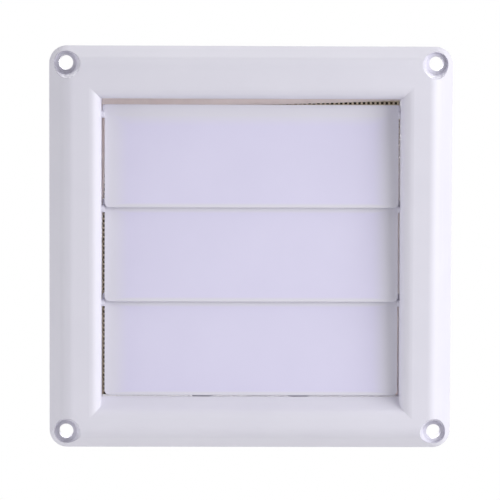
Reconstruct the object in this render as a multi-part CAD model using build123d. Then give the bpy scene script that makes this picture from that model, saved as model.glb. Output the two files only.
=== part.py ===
from build123d import *
import os
from math import asin, cos, degrees, radians, sin, tan

# Square wall grille with three gravity flaps and an insect screen, in millimetres.
# The wall plane is Y = 0, the front faces -Y, +Z is up, and the origin is the centre of the wall plane.

# Front frame
plate_side = 150.0
corner_radius = 6.6
corner_relief = 0.02  # rounded corners of the flanks inside the outline, so that they cut the flanks cleanly
rim_height = 3.5  # plain edge of the plate
frame_depth = 15.0  # wall plane to the flat crest
slope_angle = 63.0  # outer flank, from the wall plane
shoulder_radius = 5.9
wall = 2.2
least_radius = 0.5  # kept behind a rounding, however thick its wall
border = 19.5  # plate's edge to the opening
mouth_radius = 4.4  # rounding from the crest into the opening
sill_setback = 7.6  # the bottom face falls away over this depth behind the crest
sill_angle = 35.0
rib_thickness = 1.5
rib_setback = 1.5  # ribs stop this far short of the wall plane
rib_offset = 22.0  # either side of the middle of each side

# Screw holes
screw_inset = 6.3  # hole centre from the plate's edges
screw_hole_radius = 2.7
pad_height = 5.8  # wall plane to the floor of the recess
recess_radius = 3.9  # at the pad
recess_draft = 12.0

# Insect screen, welded on the back end of the tunnel walls
screen_thickness = 0.8
screen_setback = 0.2  # back of the screen in front of the wall plane
screen_margin = 0.6  # welded edge that shows inside the opening
screen_turn = 2.0  # the cloth lies slightly turned in its seat
screen_cells = 10
screen_bar = 1.3
weft_thickness = 0.5

# Flaps
flap_names = ("top", "middle", "bottom")
flap_thickness = 1.6
flap_side_gap = 0.9
flap_drift = 0.25  # end float, taken up to the right
flap_corner_radius = 2.0
flap_edge_radius = 0.5
flap_head = 3.65  # above the pivot axis
flap_front = 0.2  # front face ahead of the pivot axis
lap_gap = 0.4  # lip to the flap below it
lip_rise = 0.4  # lip above the pivot of the flap below it
ceiling_gap = 2.25
floor_gap = 0.3
pivot_depth = 5.6  # pivot axes ahead of the wall plane
pin_radius = 1.4
pin_play = 0.08  # radial running fit in the frame
pin_reach = 1.6  # into the tunnel wall
pin_chamfer = 0.3

# Stop lugs for the bottom flap
lug_width = 7.0
lug_height = 3.0
lug_thickness = 2.0
lug_offset = 18.0
lug_gap = 0.5

# Worked out from the values above
half_plate = plate_side / 2
opening_side = plate_side - 2 * border
half_opening = opening_side / 2
beyond = 2 * wall  # cutters run past the faces they cut
flap_width = opening_side - 2 * flap_side_gap
top_pivot = half_opening - ceiling_gap - flap_head
floor_line = floor_gap - lip_rise - half_opening
flap_pitch = (top_pivot - floor_line) / len(flap_names)
flap_tilt = degrees(asin((flap_thickness + lap_gap) / flap_pitch))
flap_reach = flap_pitch * cos(radians(flap_tilt)) - lip_rise  # pivot to lip
pivot_heights = [top_pivot - i * flap_pitch for i in range(len(flap_names))]
screw_place = half_plate - screw_inset


def polygon(points):
    return make_face(Polyline(*points, close=True))


def along_z(profile):
    # A profile drawn in X and Y, carried the full height of the plate.
    return extrude(profile, amount=plate_side, both=True)


def along_x(profile):
    # The same for a profile whose X stands for height, laid over so that it runs sideways.
    return Rot(0, -90, 0) * along_z(profile)


def along_y(outline):
    # An outline drawn in X and Z, carried well past the front and the wall plane.
    return extrude(Plane.XZ * outline, amount=plate_side, both=True)


def front_face(body):
    return body.faces().sort_by(Axis.Y)[0]


def bolster(thickness, back):
    # Rim, sloping flanks and flat crest. With a thickness it is the form that lies that far inside.
    side = half_plate - thickness
    depth = frame_depth - thickness
    foot = rim_height - thickness * tan(radians(90 - slope_angle) / 2)
    crest = side - (depth - foot) / tan(radians(slope_angle))
    right = [(side, back), (side, -foot), (crest, -depth)]
    section = polygon(right + [(-x, y) for x, y in reversed(right)])
    outline = RectangleRounded(2 * side, 2 * side, max(corner_radius - thickness, least_radius))
    return along_z(section) & along_x(section) & along_y(outline)


def corner_trim():
    # What stands outside a cone on each rounded corner, so that the flanks run round it.
    foot = corner_radius - corner_relief
    height = foot * tan(radians(slope_angle))
    cone = Cone(foot, 0, height, align=(Align.CENTER, Align.CENTER, Align.MIN))
    place = half_plate - corner_radius
    size = corner_radius + beyond
    depth = frame_depth + beyond - rim_height
    block = Pos(place + size / 2, -rim_height - depth / 2, place + size / 2) * Box(size, depth, size)
    block -= Pos(place, -rim_height, place) * Rot(90, 0, 0) * cone
    return [Rot(0, 90 * i, 0) * block for i in range(4)]


def tunnel(thickness):
    # The passage through the frame, or with a thickness the block that its walls fill.
    # That block flares out behind the rounding of the mouth. The low side falls away, as the sill does.
    side = half_opening + thickness
    front = frame_depth + beyond
    step = frame_depth - sill_setback - thickness * tan(radians(sill_angle) / 2)
    low = side + (front - step) * tan(radians(sill_angle))
    right = [(side, beyond), (side, -front)]
    if thickness:
        bend = frame_depth - mouth_radius
        right = [(side, beyond), (side, -bend), (side + front - bend, -front)]
    across = polygon(right + [(-x, y) for x, y in reversed(right)])
    upright = polygon(right + [(-low, -front), (-side, -step), (-side, beyond)])
    return along_z(across) & along_x(upright)


def at_corners(place):
    return [(sx * place, sz * place) for sx in (-1, 1) for sz in (-1, 1)]


def recess(thickness):
    # Conical recess over a screw pad, or with a thickness the block of its wall and pad.
    foot = 0.0 if thickness else pad_height
    height = frame_depth + beyond - foot
    widening = tan(radians(recess_draft))
    low = recess_radius + thickness + (foot - pad_height) * widening
    cone = Cone(low, low + height * widening, height, align=(Align.CENTER, Align.CENTER, Align.MIN))
    upright = Pos(0, -foot, 0) * Rot(90, 0, 0) * cone
    return [Pos(x, 0, z) * upright for x, z in at_corners(screw_place)]


def ribs():
    # Two webs behind each side of the bolster, from the flank to the tunnel wall.
    height = frame_depth - rib_setback
    web = Pos(0, -rib_setback - height / 2, 0) * Box(rib_thickness, height, plate_side)
    upright = [Pos(side * rib_offset, 0, 0) * web for side in (-1, 1)]
    return upright + [Rot(0, 90, 0) * each for each in upright]


def hollow():
    # The bolster is cored out from behind, leaving the skin, tunnel walls, screw pads and ribs.
    core = bolster(wall, back=beyond)
    shoulder = max((shoulder_radius - wall) * tan(radians(slope_angle) / 2), least_radius)
    core = chamfer(front_face(core).edges(), shoulder)
    core -= tunnel(wall)
    core -= recess(wall)
    return core - ribs()


def screen_seat():
    # The tunnel walls end here, so that the screen lies just inside the wall plane.
    side = opening_side + 2 * wall
    depth = screen_setback + screen_thickness
    return Pos(0, (beyond - depth) / 2, 0) * Box(side, depth + beyond, side)


def pin_holes():
    hole = Rot(0, 90, 0) * Cylinder(pin_radius + pin_play, opening_side + 4 * wall)
    return [Pos(0, -pivot_depth, z) * hole for z in pivot_heights]


def stop_lugs():
    # The bottom lip comes to rest in front of these.
    tilt = radians(flap_tilt)
    lip_back = pivot_depth + flap_reach * sin(tilt) - (flap_thickness - flap_front) * cos(tilt)
    middle = lip_back - lug_gap - lug_thickness / 2
    lug = Box(lug_width, lug_thickness, lug_height + wall)
    height = (lug_height - wall) / 2 - half_opening
    return [Pos(side * lug_offset, -middle, height) * lug for side in (-1, 1)]


def frame():
    body = bolster(0.0, back=0.0)
    body = fillet(front_face(body).edges(), shoulder_radius)
    body -= corner_trim()
    body -= tunnel(0.0)
    body = fillet(front_face(body).inner_wires()[0].edges(), mouth_radius)
    body -= hollow()
    body -= recess(0.0)
    screw = Rot(90, 0, 0) * Cylinder(screw_hole_radius, 2 * frame_depth)
    body -= [Pos(x, 0, z) * screw for x, z in at_corners(screw_place)]
    body -= screen_seat()
    body -= pin_holes()
    return body + stop_lugs()


def insect_screen():
    # A coarse cloth of warp and weft bars inside a plain welded edge.
    side = opening_side + 2 * wall
    window = opening_side - 2 * screen_margin
    pitch = window / screen_cells
    places = [(i - screen_cells / 2) * pitch for i in range(1, screen_cells)]
    warp = [Pos(x, 0, 0) * Box(screen_bar, screen_thickness, 2 * side) for x in places]
    weft = [Pos(0, 0, z) * Box(2 * side, weft_thickness, screen_bar) for z in places]
    pane = Box(window, screen_thickness, window)
    cloth = Rot(0, -screen_turn, 0) * (Part() + warp + weft) & pane
    edge = Box(side, screen_thickness, side) - pane
    return Pos(0, -screen_setback - screen_thickness / 2, 0) * (edge + cloth)


def flap(height):
    # Flat plate hung from two end pins, leaning out so that its lip laps the flap below.
    length = flap_head + flap_reach
    middle = (flap_head - flap_reach) / 2
    section = Pos(middle, flap_thickness / 2 - flap_front) * Rectangle(length, flap_thickness)
    section = fillet(section.vertices().group_by(Axis.X)[0], flap_edge_radius)
    outline = Pos(0, middle) * Rectangle(flap_width, length)
    outline = fillet(outline.vertices().group_by(Axis.Y)[0], flap_corner_radius)
    plate = along_x(section) & along_y(outline)
    length = flap_side_gap + pin_reach
    pin = Cylinder(pin_radius, length, align=(Align.CENTER, Align.CENTER, Align.MIN))
    pin = chamfer(pin.edges().sort_by(Axis.Z)[-1], pin_chamfer)
    pins = [Rot(0, side * 90, 0) * Pos(0, 0, flap_width / 2) * pin for side in (-1, 1)]
    return Pos(flap_drift, -pivot_depth, height) * Rot(-flap_tilt, 0, 0) * (plate + pins)


os.makedirs("parts", exist_ok=True)
export_step(frame(), "parts/frame.step")
export_step(insect_screen(), "parts/insect_screen.step")
for name, height in zip(flap_names, pivot_heights):
    export_step(flap(height), f"parts/flap_{name}.step")
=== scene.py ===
from math import cos, pi, radians, sin

import bpy
import numpy as np
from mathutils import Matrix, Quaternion, Vector


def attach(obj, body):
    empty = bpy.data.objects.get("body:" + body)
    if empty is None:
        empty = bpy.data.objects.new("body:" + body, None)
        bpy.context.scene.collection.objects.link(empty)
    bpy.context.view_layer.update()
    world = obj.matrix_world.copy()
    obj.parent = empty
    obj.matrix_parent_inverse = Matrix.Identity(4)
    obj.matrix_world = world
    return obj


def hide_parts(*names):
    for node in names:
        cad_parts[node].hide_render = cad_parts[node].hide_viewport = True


# wall grille with three gravity flaps, seen square on from a little above and to the left
# metres, +Z up, front faces -Y, wall plane at Y = 0
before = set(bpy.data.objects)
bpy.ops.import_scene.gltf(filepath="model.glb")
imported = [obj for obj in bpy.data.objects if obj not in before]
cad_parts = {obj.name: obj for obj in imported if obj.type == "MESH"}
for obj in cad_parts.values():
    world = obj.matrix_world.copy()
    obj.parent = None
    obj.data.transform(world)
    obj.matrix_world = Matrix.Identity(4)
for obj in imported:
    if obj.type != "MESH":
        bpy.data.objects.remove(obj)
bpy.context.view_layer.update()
scene = bpy.context.scene
print("frame loaded:", ", ".join(sorted(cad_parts)))


def linearColour(hexText):
    # sRGB to linear: a straight part near black, then the 2.4 power curve
    srgb = np.array([int(hexText[i:i + 2], 16) for i in (1, 3, 5)]) / 255
    linear = np.where(srgb <= 0.04045, srgb / 12.92, ((srgb + 0.055) / 1.055) ** 2.4)
    return (*linear.tolist(), 1.0)


def addNode(tree, kind, settings, links):
    # settings name a property or an input socket, links give the socket that feeds an input
    node = tree.nodes.new(kind)
    for name, value in settings.items():
        if isinstance(name, str) and hasattr(node, name):
            setattr(node, name, value)
        else:
            node.inputs[name].default_value = value
    for name, source in links.items():
        tree.links.new(source, node.inputs[name])
    return node


def newMaterial(name):
    material = bpy.data.materials.new(name)
    material.use_nodes = True
    material.node_tree.nodes.clear()
    return material, material.node_tree


def addPiece(name, points, faces, caps, material):
    # points is (n, 3) in metres, faces is (m, 4) of point numbers, caps is (k, ring) of them, or empty
    mesh = bpy.data.meshes.new(name)
    mesh.from_pydata(points.tolist(), [], faces.tolist() + caps.tolist())
    mesh.shade_smooth()
    mesh.materials.append(material)
    piece = bpy.data.objects.new(name, mesh)
    scene.collection.objects.link(piece)
    return piece


def gridFaces(rows, columns, closeRows, closeColumns):
    # quads of a rows by columns grid, the last row or column joined to the first where it closes
    r = np.arange(rows if closeRows else rows - 1)[:, None]
    c = np.arange(columns if closeColumns else columns - 1)[None, :]
    rNext, cNext = (r + 1) % rows, (c + 1) % columns
    corners = [r * columns + c, r * columns + cNext, rNext * columns + cNext, rNext * columns + c]
    return np.stack([np.broadcast_to(k, (r.size, c.size)) for k in corners], axis=-1).reshape(-1, 4)


noCaps = np.empty((0, 4), int)  # for pieces that close on themselves, and flat ones


def endCaps(rows, columns):
    # first and last ring of a tube, each as one face that closes it
    ring = np.arange(columns)
    return np.stack([ring[::-1], (rows - 1) * columns + ring])


# moulded white ABS, satin from a fine eroded tool: even cool white, a soft broad gloss on the roundings
framePlastic = {
    "colour": "#DDDBE6", "shade": "#D6D4E0",
    "ior": 1.53, "roughness": 0.5, "glossSpread": 0.05,
    "cloudSize": 0.018,  # faint flow clouds, mm to cm wide
    "grainSize": 0.0009,  # true grain is about 0.05 mm, drawn coarser so that it shows
    "grainDepth": 0.000006,
    "edgeSoftness": 0.0003,  # moulded edges are never knife sharp
}

# the same ABS from a matt tool, flatter. Painted light: a violet cast over the middle stands in for light reflected
# where the flap is lit, and a neutral tint is painted near the sides, the top edge and the lips, where the flap lies
# in shade
flapPlastic = {
    "colour": "#DAD6EE", "shade": "#D4D0E9",
    # painted shade colour: the neutral tint painted where the flap lies in shade
    "paintedShadeColour": "#DAD8E3",
    "side": (0.0445, 0.0525), "head": (0.0445, 0.0505), "lip": (0.0022, 0.0008),  # from none to full
    "lipHeight": 0.0149, "lipPitch": 0.0350667,
    "ior": 1.53, "roughness": 0.55, "glossSpread": 0.05,
    "cloudSize": 0.022,
    "grainSize": 0.0009,
    "grainDepth": 0.000008,
    "edgeSoftness": 0.0003,
}

# ABS melted into the cloth at the weld: smoother, thin enough to let light through; its warm beige tint is painted
# light, standing in for warm light bounced about in the shaded space behind the flaps
hemPlastic = {
    "colour": "#E1DAD8", "shade": "#D6CDCB",
    "ior": 1.53, "roughness": 0.45, "glossSpread": 0.05,
    "glow": 0.0019, "glowRadius": (1.0, 0.95, 0.97),  # reach of light inside it, and its share by colour
    "cloudSize": 0.004,
    "grainSize": 0.0012,
    "grainDepth": 0.00002,
    "edgeSoftness": 0.0001,
}


def mouldedPlastic(name, look):
    material, tree = newMaterial(name)
    place = addNode(tree, "ShaderNodeTexCoord", {}, {}).outputs["Object"]
    cloud = addNode(tree, "ShaderNodeTexNoise", {"Scale": 1 / look["cloudSize"], "Detail": 3.0},
                    {"Vector": place}).outputs["Fac"]
    tint = addNode(tree, "ShaderNodeMix", {"data_type": "RGBA"}, {"Factor": cloud})
    tint.inputs[6].default_value = linearColour(look["shade"])
    tint.inputs[7].default_value = linearColour(look["colour"])
    # painted shade: towards the sides, the top edge and the lips the violet gives way to the neutral painted shade
    # colour
    if "paintedShadeColour" in look:
        # distance from the middle, left or right, then height, then distance from the nearest lip
        part = addNode(tree, "ShaderNodeSeparateXYZ", {}, {"Vector": place}).outputs
        out = addNode(tree, "ShaderNodeMath", {"operation": "ABSOLUTE"}, {0: part["X"]})
        over = addNode(tree, "ShaderNodeMath", {"operation": "SUBTRACT", 1: look["lipHeight"]}, {0: part["Z"]})
        near = addNode(tree, "ShaderNodeMath", {"operation": "PINGPONG", 1: look["lipPitch"] / 2},
                       {0: over.outputs["Value"]})
        fades = []
        for where, value in (("side", out.outputs["Value"]), ("head", part["Z"]), ("lip", near.outputs["Value"])):
            first, full = look[where]
            fade = addNode(tree, "ShaderNodeMapRange", {"interpolation_type": "SMOOTHSTEP",
                           "From Min": first, "From Max": full}, {"Value": value})
            fades.append(fade.outputs["Result"])
        edge = addNode(tree, "ShaderNodeMath", {"operation": "MAXIMUM"}, {0: fades[0], 1: fades[1]})
        edge = addNode(tree, "ShaderNodeMath", {"operation": "MAXIMUM"}, {0: edge.outputs["Value"], 1: fades[2]})
        tint = addNode(tree, "ShaderNodeMix", {"data_type": "RGBA"},
                       {"Factor": edge.outputs["Value"], 6: tint.outputs[2]})
        tint.inputs[7].default_value = linearColour(look["paintedShadeColour"])
    grain = addNode(tree, "ShaderNodeTexNoise", {"Scale": 1 / look["grainSize"], "Detail": 2.0},
                    {"Vector": place}).outputs["Fac"]
    soft = addNode(tree, "ShaderNodeBevel", {"samples": 6, "Radius": look["edgeSoftness"]}, {})
    bump = addNode(tree, "ShaderNodeBump", {"Strength": 0.6, "Distance": look["grainDepth"]},
                   {"Height": grain, "Normal": soft.outputs["Normal"]})
    gloss = addNode(tree, "ShaderNodeMapRange", {"To Min": look["roughness"] - look["glossSpread"],
                    "To Max": look["roughness"] + look["glossSpread"]}, {"Value": grain})
    inside = {}
    if "glow" in look:
        inside = {"Subsurface Weight": 1.0, "Subsurface Radius": look["glowRadius"], "Subsurface Scale": look["glow"]}
    shader = addNode(tree, "ShaderNodeBsdfPrincipled", {"IOR": look["ior"], **inside},
                     {"Base Color": tint.outputs[2], "Roughness": gloss.outputs["Result"],
                      "Normal": bump.outputs["Normal"]})
    addNode(tree, "ShaderNodeOutputMaterial", {}, {"Surface": shader.outputs["BSDF"]})
    return material


# woven galvanised wire, rolled flat and dull: small dark holes between broad beige grey wires
wireZinc = {"colour": "#CFC4B2", "stain": "#B5A997", "smooth": 0.4, "rough": 0.65, "stainSize": 0.006}


def galvanisedWire(look):
    material, tree = newMaterial("galvanisedWire")
    place = addNode(tree, "ShaderNodeTexCoord", {}, {}).outputs["Object"]
    patch = addNode(tree, "ShaderNodeTexNoise", {"Scale": 1 / look["stainSize"], "Detail": 4.0},
                    {"Vector": place}).outputs["Fac"]
    tint = addNode(tree, "ShaderNodeMix", {"data_type": "RGBA"}, {"Factor": patch})
    tint.inputs[6].default_value = linearColour(look["colour"])
    tint.inputs[7].default_value = linearColour(look["stain"])
    gloss = addNode(tree, "ShaderNodeMapRange", {"To Min": look["smooth"], "To Max": look["rough"]}, {"Value": patch})
    shader = addNode(tree, "ShaderNodeBsdfPrincipled", {"Metallic": 1.0},
                     {"Base Color": tint.outputs[2], "Roughness": gloss.outputs["Result"]})
    addNode(tree, "ShaderNodeOutputMaterial", {}, {"Surface": shader.outputs["BSDF"]})
    return material


frameMaterial = mouldedPlastic("mouldedAbsSatin", framePlastic)
flapMaterial = mouldedPlastic("mouldedAbsMatt", flapPlastic)
hemMaterial = mouldedPlastic("weldedAbs", hemPlastic)
wireMaterial = galvanisedWire(wireZinc)
for nodeName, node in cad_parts.items():
    node.data.materials.clear()
    node.data.materials.append(flapMaterial if nodeName.startswith("flap") else frameMaterial)
print("plastic on", len(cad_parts), "nodes")


# insect screen: crimped wires woven one over, one under
wovenScreen = {
    "pitch": 0.0017,
    "halfWidth": 0.00036, "halfThick": 0.00018,
    "depth": -0.0006,  # middle of the cloth
    "turn": 0.1, "centre": (-0.0002, -0.0006),
    "halfSide": 0.0575,  # wires end inside the welded hem
    "wires": 70,
    "stepsPerPitch": 3,
    "around": 6,
}


def crimpedWires(cloth, turn, phase):
    # wire k lies at k pitches sideways, from one side of the hem to the other at station t
    # its height over the cloth is half its thickness times cos(pi t / pitch + pi k)
    along = np.array([cos(turn), sin(turn)])
    across = np.array([-sin(turn), cos(turn)])
    number = np.arange(cloth["wires"]) - (cloth["wires"] - 1) / 2
    foot = np.array(cloth["centre"]) + number[:, None] * cloth["pitch"] * across  # (wires, 2)
    # stations where the wire meets the four sides of the hem: it lies between the inner two
    with np.errstate(divide="ignore", invalid="ignore"):
        meets = (np.array([-1, 1])[:, None, None] * cloth["halfSide"] - foot) / along
    start = np.sort(meets, axis=0)[0].max(axis=1)
    end = np.sort(meets, axis=0)[1].min(axis=1)
    held = end - start > 2 * cloth["pitch"]  # leaves out wires that lie past the hem
    foot, start, end = foot[held], start[held], end[held]
    count = int(2 * cloth["halfSide"] / cloth["pitch"] * cloth["stepsPerPitch"])
    station = start[:, None] + (end - start)[:, None] * np.linspace(0, 1, count)
    wave = pi * station / cloth["pitch"] + pi * (np.arange(len(foot))[:, None] + phase)
    lift = cloth["halfThick"] * np.cos(wave)
    lean = -cloth["halfThick"] * pi / cloth["pitch"] * np.sin(wave)
    angle = -2 * pi * np.arange(cloth["around"]) / cloth["around"]  # this way round, the faces look outwards
    ringSide = cloth["halfWidth"] * np.cos(angle)
    ringLift = cloth["halfThick"] * np.sin(angle)
    steep = 1 / np.sqrt(1 + lean ** 2)
    t = station[..., None] - (lean * steep)[..., None] * ringLift
    x = foot[:, 0, None, None] + t * along[0] + ringSide * across[0]
    z = foot[:, 1, None, None] + t * along[1] + ringSide * across[1]
    y = cloth["depth"] + lift[..., None] + steep[..., None] * ringLift
    points = np.stack([x, y, z], axis=-1)
    one = gridFaces(count, cloth["around"], False, True)
    caps = endCaps(count, cloth["around"])
    shift = np.arange(len(foot))[:, None, None] * count * cloth["around"]
    return points.reshape(-1, 3), (one + shift).reshape(-1, 4), (caps + shift).reshape(-1, cloth["around"])


turnNow = radians(wovenScreen["turn"])
weft = addPiece("screenWeft", *crimpedWires(wovenScreen, turnNow, 0), wireMaterial)
warp = addPiece("screenWarp", *crimpedWires(wovenScreen, turnNow + pi / 2, 1), wireMaterial)
print("woven screen:", sum(len(p.data.polygons) for p in (weft, warp)), "faces")


# welded hem: a flat band of melted plastic, broader at the upper left, where it hides the holes
screenHem = {
    "outer": 0.0577,
    "window": ((-0.0575, -0.0558), (0.0545, -0.0545), (0.0556, 0.05485), (-0.0538, 0.05105)),  # from the lower left
    "front": -0.001, "back": -0.0002,
    "ripple": 0.00008, "ripples": 160,
    "steps": 480,
}


def weldedBand(hem):
    # station s runs round a square: outer edge on the square itself, inner edge from corner to corner of the window
    # the section goes front inner, front outer, back outer, back inner and closes
    s = np.arange(hem["steps"]) / hem["steps"] * 4
    side, run = s.astype(int), s % 1 * 2 - 1
    ux = np.choose(side, [run, np.ones_like(run), -run, -np.ones_like(run)])
    uz = np.choose(side, [-np.ones_like(run), run, np.ones_like(run), -run])
    ripple = 1 + hem["ripple"] / hem["outer"] * np.sin(2 * pi * hem["ripples"] * s / 4)
    corners = np.array(hem["window"])
    far = (run[:, None] + 1) / 2
    inner = ((corners[side] * (1 - far) + corners[(side + 1) % 4] * far) * ripple[:, None]).T
    outer = (ux * hem["outer"], uz * hem["outer"])
    section = [(inner, hem["front"]), (outer, hem["front"]), (outer, hem["back"]), (inner, hem["back"])]
    points = np.stack([np.stack([e[0], np.full_like(s, y), e[1]], axis=-1) for e, y in section], axis=1)
    return points.reshape(-1, 3), gridFaces(hem["steps"], 4, True, True), noCaps


hem = addPiece("screenHem", *weldedBand(screenHem), hemMaterial)
hem.data.shade_flat()
for piece in (weft, warp, hem):
    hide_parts("insect_screen")
    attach(piece, "grille_frame")
print("hem and cloth in place")


# hinge shoulders: the head of each flap carried on, almost to the tunnel walls, where they set its end float
hingeShoulder = {
    "pivots": {"top_flap": 0.0496, "middle_flap": 0.0145333, "bottom_flap": -0.0205333},
    "pivotDepth": -0.0056, "tilt": 3.27,
    "ends": ((-0.0536, -0.0552), (0.0541, 0.05535)),  # inside the flap, near the wall
    "low": -0.0014, "high": 0.00362, "front": -0.00018, "back": 0.00138,
    "round": 0.00045, "steps": 5,
    "drawIn": ((0.0003, 1.0), (0.0001, 0.93), (0.0, 0.8)),  # before the end, and the size of the section there
}


def shoulderBlock(look, pivot, start, end):
    # section: a rectangle with rounded corners, a few points to each quarter circle
    # it runs sideways from start to end, and draws in over the last third of a millimetre
    corner = np.linspace(0, pi / 2, look["steps"])
    r = look["round"]
    middles = [(look["back"] - r, look["high"] - r), (look["front"] + r, look["high"] - r),
               (look["front"] + r, look["low"] + r), (look["back"] - r, look["low"] + r)]
    depth = np.concatenate([m[0] + r * np.cos(corner + k * pi / 2) for k, m in enumerate(middles)])
    height = np.concatenate([m[1] + r * np.sin(corner + k * pi / 2) for k, m in enumerate(middles)])
    centre = (depth.mean(), height.mean())
    way = 1 if end > start else -1
    depth, height = depth[::way], height[::way]  # keeps the faces looking outwards on either side
    stations = [(start, 1.0)] + [(end - way * before, size) for before, size in look["drawIn"]]
    x = np.array([place for place, size in stations])[:, None] + 0 * depth
    size = np.array([size for place, size in stations])[:, None]
    y, z = centre[0] + (depth - centre[0]) * size, centre[1] + (height - centre[1]) * size
    tilt = -radians(look["tilt"])
    y, z = y * cos(tilt) - z * sin(tilt), y * sin(tilt) + z * cos(tilt)
    points = np.stack([x, look["pivotDepth"] + y, pivot + z], axis=-1)
    rows, columns = len(stations), len(depth)
    return points.reshape(-1, 3), gridFaces(rows, columns, False, True), endCaps(rows, columns)


for body, pivot in hingeShoulder["pivots"].items():
    for side, (start, end) in zip(("Left", "Right"), hingeShoulder["ends"]):
        block = shoulderBlock(hingeShoulder, pivot, start, end)
        piece = addPiece(body.split("_")[0] + "Shoulder" + side, *block, flapMaterial)
        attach(piece, body)
print("hinge shoulders on", len(hingeShoulder["pivots"]), "flaps")


# stage: a pale floor well below, and a dark sheet behind the grille, painted shade that only the camera sees,
# standing in for the dark of a duct
floorLook = {
    "colour": "#E6E6E6", "rim": "#FFFFFF",
    "height": -0.3, "radius": 0.35, "fadeFrom": 0.15,
    "sides": 64, "hub": 0.001,  # the hole in the middle is a thousandth of the disc
}
# painted shade: the colour of a dark duct, shown to the camera only
ductShadeLook = {"colour": "#3A3531", "half": 0.0576, "depth": 0.0004}


def paleFloor(look):
    # for the camera it fades into the white of the background towards its rim, so that no edge shows
    material, tree = newMaterial("paleFloor")
    place = addNode(tree, "ShaderNodeTexCoord", {}, {}).outputs["Object"]
    flat = addNode(tree, "ShaderNodeVectorMath", {"operation": "MULTIPLY", 1: (1.0, 1.0, 0.0)}, {0: place})
    out = addNode(tree, "ShaderNodeVectorMath", {"operation": "LENGTH"}, {0: flat.outputs["Vector"]}).outputs["Value"]
    fade = addNode(tree, "ShaderNodeMapRange", {"interpolation_type": "SMOOTHSTEP",
                   "From Min": look["fadeFrom"], "From Max": look["radius"]}, {"Value": out}).outputs["Result"]
    direct = addNode(tree, "ShaderNodeLightPath", {}, {}).outputs["Is Camera Ray"]
    shown = addNode(tree, "ShaderNodeMath", {"operation": "MULTIPLY"}, {0: fade, 1: direct}).outputs["Value"]
    shader = addNode(tree, "ShaderNodeBsdfDiffuse", {"Color": linearColour(look["colour"])}, {})
    white = addNode(tree, "ShaderNodeEmission", {"Color": linearColour(look["rim"]), "Strength": 1.0}, {})
    mix = addNode(tree, "ShaderNodeMixShader", {},
                  {0: shown, 1: shader.outputs["BSDF"], 2: white.outputs["Emission"]})
    addNode(tree, "ShaderNodeOutputMaterial", {}, {"Surface": mix.outputs["Shader"]})
    ring = 2 * pi * np.arange(look["sides"]) / look["sides"]
    r = np.array([look["hub"], 1.0])[:, None] * look["radius"]
    points = np.stack([r * np.cos(ring), r * np.sin(ring), np.full((2, look["sides"]), look["height"])], axis=-1)
    return addPiece("floor", points.reshape(-1, 3), gridFaces(2, look["sides"], False, True), noCaps, material)


def paintedDuctShade(look):
    # painted shade: a dark backing that only camera rays see, and only from the front, so that holes and gaps look
    # into shade; all other rays pass through it, and the back of the grille stays in view and in the light
    material, tree = newMaterial("paintedShadeDark")
    shader = addNode(tree, "ShaderNodeBsdfDiffuse", {"Color": linearColour(look["colour"])}, {})
    clear = addNode(tree, "ShaderNodeBsdfTransparent", {}, {})
    behind = addNode(tree, "ShaderNodeNewGeometry", {}, {}).outputs["Backfacing"]
    direct = addNode(tree, "ShaderNodeLightPath", {}, {}).outputs["Is Camera Ray"]
    shown = addNode(tree, "ShaderNodeMath", {"operation": "SUBTRACT", "use_clamp": True}, {0: direct, 1: behind})
    mix = addNode(tree, "ShaderNodeMixShader", {},
                  {0: shown.outputs["Value"], 1: clear.outputs["BSDF"], 2: shader.outputs["BSDF"]})
    addNode(tree, "ShaderNodeOutputMaterial", {}, {"Surface": mix.outputs["Shader"]})
    h, y = look["half"], look["depth"]
    points = np.array([[-h, y, -h], [h, y, -h], [h, y, h], [-h, y, h]])
    return addPiece("paintedShadeSheet", points, np.array([[0, 1, 2, 3]]), noCaps, material)


paleFloor(floorLook)
paintedDuctShade(ductShadeLook)

# light: one broad soft key from the right, weak lamps along the left edge, before and behind the top edge
# and low on the left, one behind that also fills the space between flaps and screen, and a grey surround
lamps = {
    "keyRight": {"azimuth": 58.0, "elevation": 10.0, "size": 0.95, "power": 10.7},
    "edgeLeft": {"azimuth": -75.0, "elevation": 5.0, "size": 0.6, "power": 2.2},
    "edgeTop": {"azimuth": 0.0, "elevation": 75.0, "size": 0.6, "power": 1.2},
    "rimTop": {"azimuth": 180.0, "elevation": 75.0, "size": 0.6, "power": 1.3},
    "fillLow": {"azimuth": -60.0, "elevation": -20.0, "size": 0.8, "power": 2.0},
    "back": {"azimuth": 180.0, "elevation": 20.0, "size": 0.9, "power": 11.0},
}
lampDistance = 1.0
surround = {"colour": "#FFFFFF", "ambient": 0.27, "backdrop": 1.0}


def directionFrom(azimuth, elevation):
    # unit vector from the grille: azimuth 0 is straight ahead of its front, positive to the right
    a, e = radians(azimuth), radians(elevation)
    return Vector((sin(a) * cos(e), -cos(a) * cos(e), sin(e)))


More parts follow.
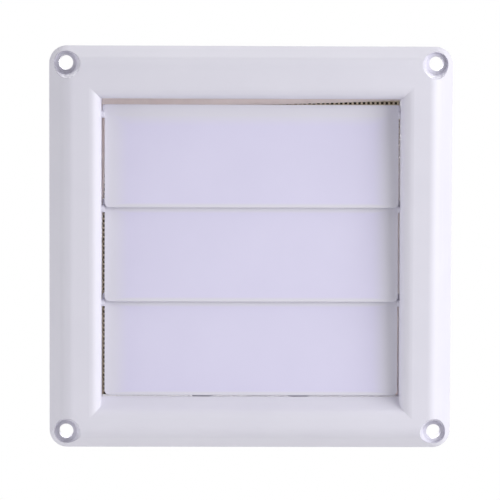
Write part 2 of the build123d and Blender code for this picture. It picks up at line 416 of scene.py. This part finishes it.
def addLamp(name, lamp):
    data = bpy.data.lights.new(name, "AREA")
    data.shape, data.size, data.energy = "DISK", lamp["size"], lamp["power"]
    light = bpy.data.objects.new(name, data)
    away = directionFrom(lamp["azimuth"], lamp["elevation"])
    light.location = away * lampDistance
    light.rotation_euler = (-away).to_track_quat("-Z", "Y").to_euler()
    scene.collection.objects.link(light)


for lampName, lamp in lamps.items():
    addLamp(lampName, lamp)

world = bpy.data.worlds.new("surround")
world.use_nodes = True
world.node_tree.nodes.clear()
scene.world = world
path = addNode(world.node_tree, "ShaderNodeLightPath", {}, {})
seen = addNode(world.node_tree, "ShaderNodeMath", {"operation": "MAXIMUM"},
               {0: path.outputs["Is Camera Ray"], 1: path.outputs["Is Glossy Ray"]})
seen = addNode(world.node_tree, "ShaderNodeMath", {"operation": "MAXIMUM"},
               {0: seen.outputs["Value"], 1: path.outputs["Is Transmission Ray"]})
level = addNode(world.node_tree, "ShaderNodeMapRange",
                {"To Min": surround["ambient"], "To Max": surround["backdrop"]}, {"Value": seen.outputs["Value"]})
sky = addNode(world.node_tree, "ShaderNodeBackground", {"Color": linearColour(surround["colour"])},
              {"Strength": level.outputs["Result"]})
addNode(world.node_tree, "ShaderNodeOutputWorld", {}, {"Surface": sky.outputs["Background"]})
scene.view_settings.view_transform = "Standard"
print("lamps:", ", ".join(lamps))

# camera: long lens, square picture, the plate's middle a little above the picture's
cameraLook = {
    "azimuth": -1.0, "elevation": 4.0, "roll": 0.22,
    "distance": 1.03, "sensor": 36.0,  # metres, and millimetres across
    "cover": 0.1873,  # width of the picture at the wall plane
    "aim": (-0.00015, 0.0, -0.0012),
}
towards = directionFrom(cameraLook["azimuth"], cameraLook["elevation"])
cameraData = bpy.data.cameras.new("photoCamera")
cameraData.sensor_width = cameraLook["sensor"]
cameraData.lens = cameraLook["sensor"] * cameraLook["distance"] / cameraLook["cover"]
camera = bpy.data.objects.new("photoCamera", cameraData)
camera.location = Vector(cameraLook["aim"]) + towards * cameraLook["distance"]
turned = (-towards).to_track_quat("-Z", "Y") @ Quaternion((0, 0, 1), radians(cameraLook["roll"]))
camera.rotation_euler = turned.to_euler()
scene.collection.objects.link(camera)
scene.camera = camera
print("camera lens:", round(cameraData.lens, 1), "mm")
